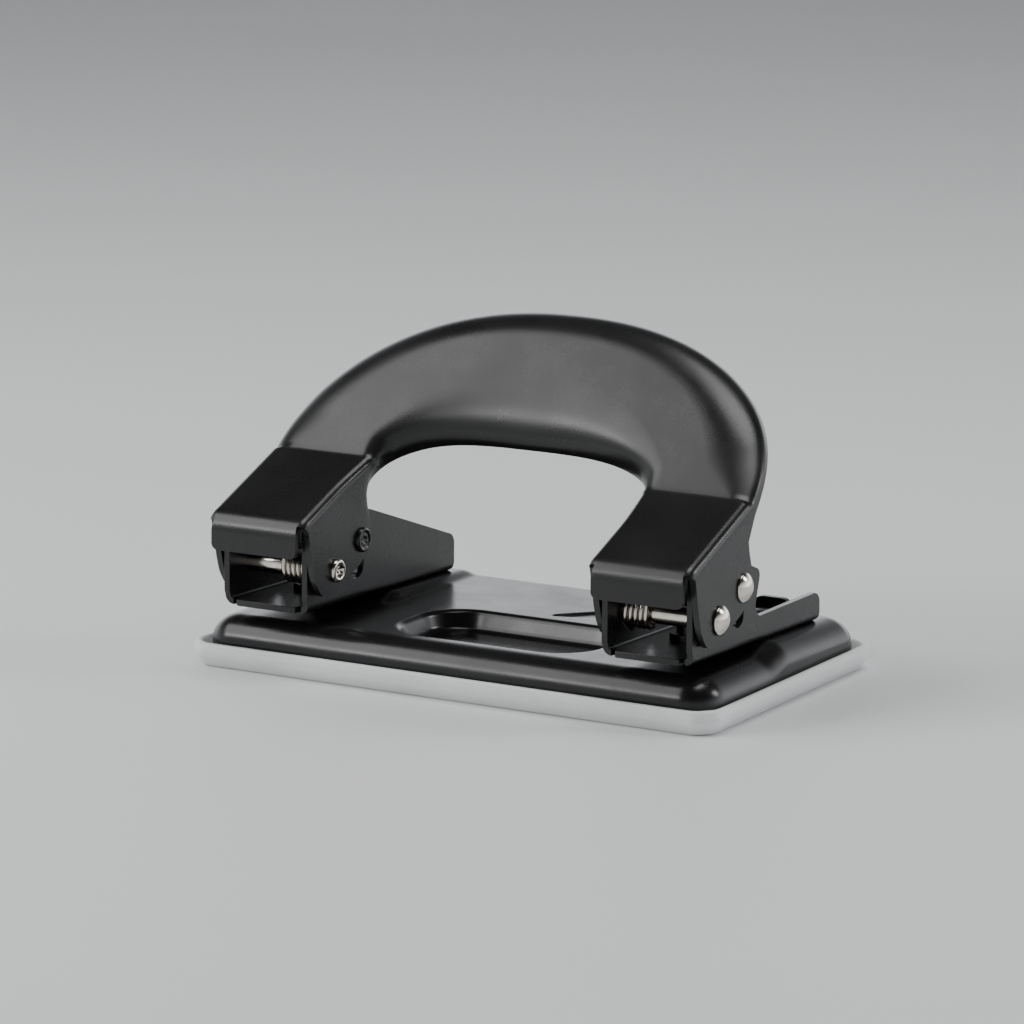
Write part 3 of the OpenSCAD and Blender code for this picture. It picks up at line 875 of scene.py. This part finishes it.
def make_base():
    """Pressed base, ring by ring from its skirt to the floor of its panel."""
    centre_y = node_centre("base_plate")[1]
    outline = round_rect(BASE_L, BASE_D, CORNER_R) + (0, centre_y)
    points = []

    def add(xy, z):
        points.extend((p[0], p[1], h) for p, h in zip(xy, z))

    def lift(xy):
        return np.array([pad_rise(x, y) for x, y in xy])

    # Straight skirt, then the rounded edge
    shoulder = BASE_TOP - EDGE_HIGH + lift(outline)
    for share in (0, 0.08, 0.5, 0.85, 1):
        add(outline, SKIRT + (shoulder - SKIRT) * share)
    for a in np.radians(np.linspace(0, 90, 17))[1:]:
        inset = EDGE_WIDE * (1 - math.cos(a))
        ring = round_rect(BASE_L - 2 * inset, BASE_D - 2 * inset, CORNER_R - inset) + (0, centre_y)
        add(ring, BASE_TOP + lift(ring) - EDGE_HIGH * (1 - math.sin(a)))
    # The flat top, from the rounded edge to the mouth of the panel
    panel_y = at_y(PANEL["y"])

    def panel_ring(inset):
        return (round_rect(PANEL["l"] - 2 * inset, PANEL["d"] - 2 * inset,
                           max(PANEL["r"] - inset, 0.5)) + (PANEL["x"], panel_y))

    lip, depth = 1.3, PANEL["depth"]
    mouth = panel_ring(-lip - 0.06)
    steps = 56
    for k in range(1, steps):
        xy = ring + (mouth - ring) * k / steps
        add(xy, [BASE_TOP + pad_rise(x, y) + crease(x, y) for x, y in xy])
    # The panel: rounded lip, steep wall, rounded foot and flat floor
    slope = math.radians(68)
    wall = fillet([(-lip, 0), (0.2, 0), (0.2 + depth / math.tan(slope), -depth), (6, -depth)],
                  [1.5, 1.7], 10)
    for inset, drop in wall[:-1]:
        xy = panel_ring(inset)
        add(xy, [BASE_TOP + drop] * len(xy))
    floor = panel_ring(wall[-2][0])
    for share in (0.3, 0.6, 0.85, 0.97):
        xy = floor + ((PANEL["x"], panel_y) - floor) * share * (0.999, 0.97)
        add(xy, [BASE_TOP - depth] * len(xy))
    cols = len(outline)
    rows = len(points) // cols
    faces = grid_faces(rows, cols, wrap=True)
    faces.append(tuple((rows - 1) * cols + k for k in range(cols)))
    obj = mesh_piece("base_pressing", points, faces)
    if obj.data.polygons[len(faces) - 1].normal.z < 0:
        obj.data.flip_normals()
    for side in (-1, 1):
        cut_hole(obj, side * SIDE_X, PUNCH_Y, DIE_R)
    sheet = obj.modifiers.new("sheet", "SOLIDIFY")
    sheet.thickness = BASE_SHEET * MM
    sheet.offset = -1
    sheet.use_even_offset = False
    settle(obj)
    return shade(obj, 40)


finish_piece(make_base(), GLOSS, "frame", "black_base", "base_plate")


# ---------- tray ----------

def cut_corner_rect(l, d, cut):
    """Closed outline of a rectangle whose cut-off corners are softly rounded."""
    corners = ((l / 2 - cut, d / 2), (l / 2, d / 2 - cut), (l / 2, cut - d / 2),
               (l / 2 - cut, -d / 2))
    line = [(0, d / 2)] + list(corners) + [(0, -d / 2)]
    right = fillet(line, [min(3.2, 1.7 * cut)] * 4, 7)[:-1]
    half = []
    for a, b in zip(right, right[1:] + [np.array((0, -d / 2))]):
        steps = 40 if np.linalg.norm(b - a) > 12 else 1
        half += [a + (b - a) * i / steps for i in range(steps)]
    return half + [p * (-1, -1) for p in half]


def make_tray():
    """Ring profile carried round the tray's outline, and closed over its floor."""
    l, d = node_size("chip_tray")[:2]
    top, wall = TRAY_HIGH[2], 1.3
    outside = [(4.5, 0.0), (1.9, 0.0), (1.45, 0.1), (1.2, 0.32), (0.4, 1.7), (0.15, 2.05),
               (0.02, 2.45)]
    rim = [(0.0, top - 0.95), (0.12, top - 0.8), (0.12, top - 0.45), (0.25, top - 0.15),
           (0.5, top), (wall - 0.3, top), (wall, top - 0.3)]
    inside = [(wall + 0.08, 2.2), (wall + 0.35, 1.6), (wall + 1.0, 1.3), (5.0, 1.3)]
    rings = outside + rim + inside
    points = []
    for inset, z in rings:
        xy = cut_corner_rect(l - 2 * inset, d - 2 * inset, 3.4 - 0.58 * inset)
        points += [(x, y, z) for x, y in xy]
    cols = len(xy)
    return shade(outward(mesh_piece("tray_shell", points, capped(len(rings), cols))), 50)


finish_piece(make_tray(), PLASTIC, "tray", "tray_plastic", "chip_tray")


# ---------- pins, rings, rivets and springs ----------

def dome(x, radius, height, n):
    """Profile of a domed head that starts at x with a small square edge."""
    ball = (radius ** 2 + height ** 2) / (2 * height)
    edge = math.asin(radius / ball)
    line = [(x + height - ball + ball * math.cos(edge * (1 - i / n)),
             ball * math.sin(edge * (1 - i / n))) for i in range(n + 1)]
    return line[:-1] + [(line[-1][0], 0.02)]


def star(x, r, a):
    """Five crimps pressed into a pin's hollow end."""
    share = math.exp(-((r - 0.75) / 0.4) ** 2) if x < 0 else 0
    return 0.3 * (0.5 + 0.5 * math.cos(5 * a)) * share


def hexagon(x, r, a):
    """Six flats pressed into a cap."""
    share = math.exp(-((r - 0.8) / 0.22) ** 2) if x < EAR_FACE - 0.3 else 0
    return 0.12 * (0.5 + 0.5 * math.cos(6 * a)) * share


HEAD_R = node_size("drive_pin_right")[1] / 2


def make_pin(name, centre, tail, head_x, dent):
    profile = tail + [(head_x - 0.02, PIN_R), (head_x, HEAD_R - 0.25),
                      (head_x + 0.05, HEAD_R - 0.06), (head_x + 0.18, HEAD_R)]
    profile += dome(head_x + 0.3, HEAD_R, 1.2, 14)
    return shade(turned(name, profile, centre, dent=dent), 50)


def past_ear(*steps):
    """Profile of an inner end: distances past the ear's inner face, with their radii."""
    return [(EAR_FACE - out, r) for out, r in steps]


PIVOT_TAIL = past_ear((0.25, 0.02), (0.3, 0.35), (0.38, 0.7), (0.55, 1.05), (0.85, 1.3),
                      (0.98, 1.5), (1.0, 1.7), (0.92, 1.95), (0.7, 2.15), (0.3, 2.2),
                      (0.12, 2.15), (0.12, PIN_R))
DRIVE_TAIL = past_ear((0.3, 0.02), (0.35, 0.6), (0.35, 1.4), (0.2, 1.5), (0, 1.5), (0, PIN_R))
RING_PROFILE = past_ear((0, 0.02), (0, 2.35), (0.4, 2.35), (0.6, 2.28), (0.76, 2.1),
                        (0.8, 1.9), (0.74, 1.72), (0.6, 1.6), (0.52, 1.4), (0.6, 1.1),
                        (0.68, 0.8), (0.5, 0.6), (0.42, 0.3), (0.42, 0.02))


def make_ring():
    """Retaining ring whose dished cap closes over the drive pin's end."""
    name = "retaining_ring_right_band"
    return shade(turned(name, RING_PROFILE, DRIVE, dent=hexagon), 50)


pivot_right = make_pin("pivot_pin_right_turned", PIVOT, PIVOT_TAIL, EAR_OUT + 0.12, star)
drive_right = make_pin("drive_pin_right_turned", DRIVE, DRIVE_TAIL, EAR_OUT, None)
ring_right = make_ring()
for side, pivot, drive, ring in (
        ("right", pivot_right, drive_right, ring_right),
        ("left", mirrored(pivot_right, "pivot_pin_left_turned"),
         mirrored(drive_right, "drive_pin_left_turned"),
         mirrored(ring_right, "retaining_ring_left_band"))):
    finish_piece(pivot, NICKEL, "frame", "nickel", "pivot_pin_" + side)
    finish_piece(drive, NICKEL, "handle", "nickel", "drive_pin_" + side)
    finish_piece(ring, RING, "handle", "black_ring", "retaining_ring_" + side)


# Geometry Nodes trees: a wire swept along a path, and a head set on every point

def geometry_tree(name, inputs):
    tree = bpy.data.node_groups.new(name, "GeometryNodeTree")
    tree.interface.new_socket("Geometry", in_out="INPUT", socket_type="NodeSocketGeometry")
    ids = {}
    for label, kind in inputs:
        socket = tree.interface.new_socket(label, in_out="INPUT", socket_type="NodeSocket" + kind)
        ids[label] = socket.identifier
    tree.interface.new_socket("Geometry", in_out="OUTPUT", socket_type="NodeSocketGeometry")
    return tree, tree.nodes.new("NodeGroupInput"), tree.nodes.new("NodeGroupOutput"), ids


def finish_tree(tree, given, made, shape):
    """Makes a tree's shape real and gives it its material."""
    real = tree.nodes.new("GeometryNodeRealizeInstances")
    paint = tree.nodes.new("GeometryNodeSetMaterial")
    tree.links.new(shape, real.inputs["Geometry"])
    tree.links.new(real.outputs["Geometry"], paint.inputs["Geometry"])
    tree.links.new(given.outputs["Material"], paint.inputs["Material"])
    tree.links.new(paint.outputs["Geometry"], made.inputs["Geometry"])


def wire_tree():
    """Sweeps a round wire along an edge path and closes its ends."""
    tree, given, made, ids = geometry_tree(
        "wire along path", [("Wire Radius", "Float"), ("Sides", "Int"), ("Material", "Material")])
    line = tree.nodes.new("GeometryNodeMeshToCurve")
    circle = tree.nodes.new("GeometryNodeCurvePrimitiveCircle")
    sweep = tree.nodes.new("GeometryNodeCurveToMesh")
    sweep.inputs["Fill Caps"].default_value = True
    link_up = tree.links.new
    link_up(given.outputs["Geometry"], line.inputs["Mesh"])
    link_up(given.outputs["Wire Radius"], circle.inputs["Radius"])
    link_up(given.outputs["Sides"], circle.inputs["Resolution"])
    link_up(line.outputs["Curve"], sweep.inputs["Curve"])
    link_up(circle.outputs["Curve"], sweep.inputs["Profile Curve"])
    finish_tree(tree, given, made, sweep.outputs["Mesh"])
    return tree, ids


def head_tree():
    """Sets a copy of one rivet on every point."""
    tree, given, made, ids = geometry_tree(
        "rivet on points", [("Rivet", "Object"), ("Scale", "Float"), ("Material", "Material")])
    shape = tree.nodes.new("GeometryNodeObjectInfo")
    spots = tree.nodes.new("GeometryNodeInstanceOnPoints")
    link_up = tree.links.new
    link_up(given.outputs["Rivet"], shape.inputs["Object"])
    link_up(given.outputs["Geometry"], spots.inputs["Points"])
    link_up(shape.outputs["Geometry"], spots.inputs["Instance"])
    link_up(given.outputs["Scale"], spots.inputs["Scale"])
    finish_tree(tree, given, made, spots.outputs["Instances"])
    return tree, ids


def run_tree(obj, tree, ids, values):
    nodes = obj.modifiers.new("build", "NODES")
    nodes.node_group = tree
    for label, value in values.items():
        nodes[ids[label]] = value
    return settle(obj)


WIRE_R = 0.45
COIL_GAP = 0.35
COIL_R = PIN_R + COIL_GAP + WIRE_R
COIL_PITCH = 1.05
COIL_START, COIL_END, COIL_TURNS = 235, 170, 4
LONG_LEG = 10.5


def spring_path(turns, end_reach, shift):
    """Path of a return spring: a leg on the floor, the coil, a leg under the handle."""
    total = 360 * turns + COIL_START - COIL_END
    steps = 36 * turns + 8
    x0 = SIDE_X - HALF_W + SHEET + 0.75 + shift

    def place(i):
        a = math.radians(COIL_START - total * i / steps)
        return np.array([x0 + COIL_PITCH * total / 360 * i / steps,
                         PIVOT[0] + COIL_R * math.cos(a), PIVOT[1] + COIL_R * math.sin(a)])

    coil = [place(i) for i in range(steps + 1)]
    a, b = math.radians(COIL_START), math.radians(COIL_END)
    down = np.array([0, -math.sin(a), math.cos(a)])
    up = np.array([0, math.sin(b), -math.cos(b)])
    return ([coil[0] + down * s for s in (2.2, 1.1)] + coil
            + [coil[-1] + up * s for s in np.linspace(1, end_reach, 8)])


WIRE_TREE, WIRE_IDS = wire_tree()
for side, mirror, shift in (("right", 1, 0.0), ("left", -1, 1.8)):
    path = [p * (mirror, 1, 1) for p in spring_path(COIL_TURNS, LONG_LEG, shift)]
    spring = mesh_piece("torsion_spring_" + side + "_wire", path, [])
    spring.data.edges.add(len(path) - 1)
    for i, edge in enumerate(spring.data.edges):
        edge.vertices = (i, i + 1)
    run_tree(spring, WIRE_TREE, WIRE_IDS,
             {"Wire Radius": WIRE_R * MM, "Sides": 20, "Material": WIRE})
    shade(outward(spring), 50)
    finish_piece(spring, WIRE, None, "spring_wire", "torsion_spring_" + side)
    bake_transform(spring)


def rivet_shape():
    """One rivet standing at the origin: head above the floor, shank and foot below."""
    profile = [(0.02, -3.3), (2.3, -3.3), (2.6, -3.1), (2.6, -2.5), (2.3, -2.3), (1.55, -2.3),
               (1.55, 0.0), (2.35, 0.0), (2.6, 0.15), (2.55, 0.4), (2.1, 0.72), (1.2, 0.92),
               (0.5, 0.96), (0.02, 0.97)]
    points = [(r * math.cos(a), r * math.sin(a), z) for r, z in profile
              for a in np.linspace(0, 2 * math.pi, RIVET_SIDES + 1)[:-1]]
    faces = capped(len(profile), RIVET_SIDES)
    return shade(outward(mesh_piece("rivet shape", points, faces)), 45)


HEAD_TREE, HEAD_IDS = head_tree()
rivet = rivet_shape()
spots = [(side * SIDE_X, at_y(y), floor_z(y) + SHEET) for side in (-1, 1) for y in RIVET_Y]
rivets = mesh_piece("bracket_rivet_heads", spots, [])
run_tree(rivets, HEAD_TREE, HEAD_IDS, {"Rivet": rivet, "Scale": 1.0, "Material": STEEL})
bpy.data.objects.remove(rivet)
finish_piece(shade(rivets, 45), STEEL, "frame", "tool_steel", "bracket_rivets")

for node in ("die_ring_left", "die_ring_right", "guide_bush_left", "guide_bush_right",
             "punch_left", "punch_right"):
    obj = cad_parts[node]
    for item in obj.material_slots:
        item.material = STEEL


# ---------- floor, light and camera ----------

def stage_material(name, colour, rough):
    mat, tree, shader = new_material(name)
    tone = spread(tree, noise(tree, 9, 3, 0.5), 0.3, 0.7, 0.0, 1.0)
    tree.links.new(mix_colour(tree, tone, [c * 0.985 for c in colour], colour),
                   shader.inputs["Base Color"])
    shader.inputs["Roughness"].default_value = rough
    return mat


floor = mesh_piece("stage floor", [(-4000, -4000, 0), (4000, -4000, 0), (4000, 4000, 0),
                                   (-4000, 4000, 0)], [(0, 1, 2, 3)])
floor.data.materials.append(stage_material("pale floor", (0.78, 0.79, 0.79), 0.6))


def softbox(name, direction, distance, width, height, power):
    """A rectangular lamp that looks at the object from a direction; its width runs as
    nearly along X as that direction allows."""
    data = bpy.data.lights.new(name, "AREA")
    data.shape = "RECTANGLE"
    data.size, data.size_y = width, height
    data.energy = power
    lamp = link(name, data)
    way = Vector(direction).normalized()
    across = (Vector((1, 0, 0)) - way * way.x).normalized()
    turn = Matrix((across, way.cross(across), way)).transposed().to_4x4()
    lamp.matrix_world = Matrix.Translation(Vector((0, 0, 0.03)) + way * distance) @ turn


softbox("key softbox", (-0.622, -0.448, 0.66), 0.9, 0.52, 0.67, 4.3)
softbox("low strip", (-0.56, -0.72, 0.44), 0.9, 0.5, 0.12, 1.5)
softbox("overhead softbox", (0.08, 0.12, 1), 1.0, 0.5, 0.5, 4.2)
softbox("right rim strip", (0.72, 0.42, 0.50), 0.9, 0.2, 0.24, 1.5)

world = bpy.data.worlds.new("studio")
world.use_nodes = True
bpy.context.scene.world = world
tree = world.node_tree
background = tree.nodes["Background"]
place = tree.nodes.new("ShaderNodeTexCoord")
split = tree.nodes.new("ShaderNodeSeparateXYZ")
tree.links.new(place.outputs["Generated"], split.inputs["Vector"])
low = spread(tree, split.outputs["Z"], 0.2, 0.5, 2.0, 0.05)
behind = spread(tree, split.outputs["Y"], -0.4, 0.5, 0.35, 1.0)
strength = math_node(tree, "MULTIPLY", low, behind)
tree.links.new(strength, background.inputs["Strength"])
background.inputs["Color"].default_value = (0.95, 0.97, 1.0, 1)


def make_camera():
    """Camera with a long lens, 30 degrees to the right of the front and a little above."""
    azimuth, elevation, roll = (math.radians(v) for v in (29.72, 11.53, 0.42))
    right = Vector((math.cos(azimuth), math.sin(azimuth), 0))
    back = Vector((math.sin(azimuth) * math.cos(elevation),
                   -math.cos(azimuth) * math.cos(elevation), math.sin(elevation)))
    up = back.cross(right)
    x = right * math.cos(roll) + up * math.sin(roll)
    y = up * math.cos(roll) - right * math.sin(roll)
    data = bpy.data.cameras.new("camera")
    data.sensor_width = 36
    data.lens = 169.3
    data.clip_start, data.clip_end = 0.05, 50
    camera = link("camera", data)
    turn = Matrix((x, y, back)).transposed().to_4x4()
    camera.matrix_world = Matrix.Translation((0.43082, -0.76237, 0.20772)) @ turn
    bpy.context.scene.camera = camera


make_camera()
bpy.context.view_layer.update()
